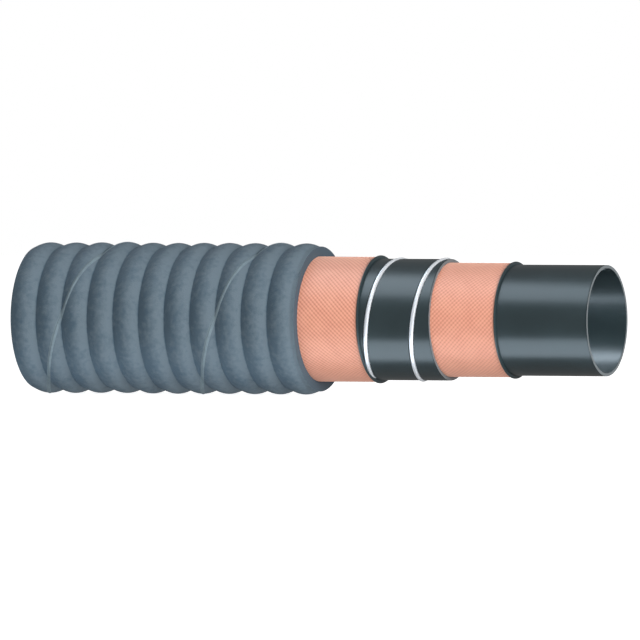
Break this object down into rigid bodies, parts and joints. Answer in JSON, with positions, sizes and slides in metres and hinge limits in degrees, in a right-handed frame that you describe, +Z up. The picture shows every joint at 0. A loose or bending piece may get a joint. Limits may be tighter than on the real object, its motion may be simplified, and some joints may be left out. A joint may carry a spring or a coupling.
{
  "type": "oil suction hose sample",
  "caption": "Straight sample of a reinforced rubber suction hose with a ringed cover, its layers stripped back in steps to show fabric, wire helix and smooth inner tube.",
  "frame": {"origin": "middle of the sample's length, on the surface that it lies on, straight below the hose's axis", "axes": "+X along the hose from the square-cut covered end to the bare inner tube, +Z up, -Y towards the viewer"},
  "size_m": [0.3, 0.0734, 0.0734],
  "materials": {
    "cover_rubber": "matt blue-grey rubber with the faint print of its wrapping cloth",
    "ply_fabric": "rubberised salmon-coloured woven fabric with crossing diagonal cords",
    "black_rubber": "smooth, slightly glossy black rubber",
    "steel_wire": "bright drawn steel wire"
  },
  "bodies": {
    "root": {"inner_tube": "black_rubber", "inner_fabric_ply": "ply_fabric", "rubber_interlayer": "black_rubber", "helix_wire": "steel_wire", "outer_fabric_ply": "ply_fabric", "ringed_cover": "cover_rubber"}
  },
  "joints": []
}
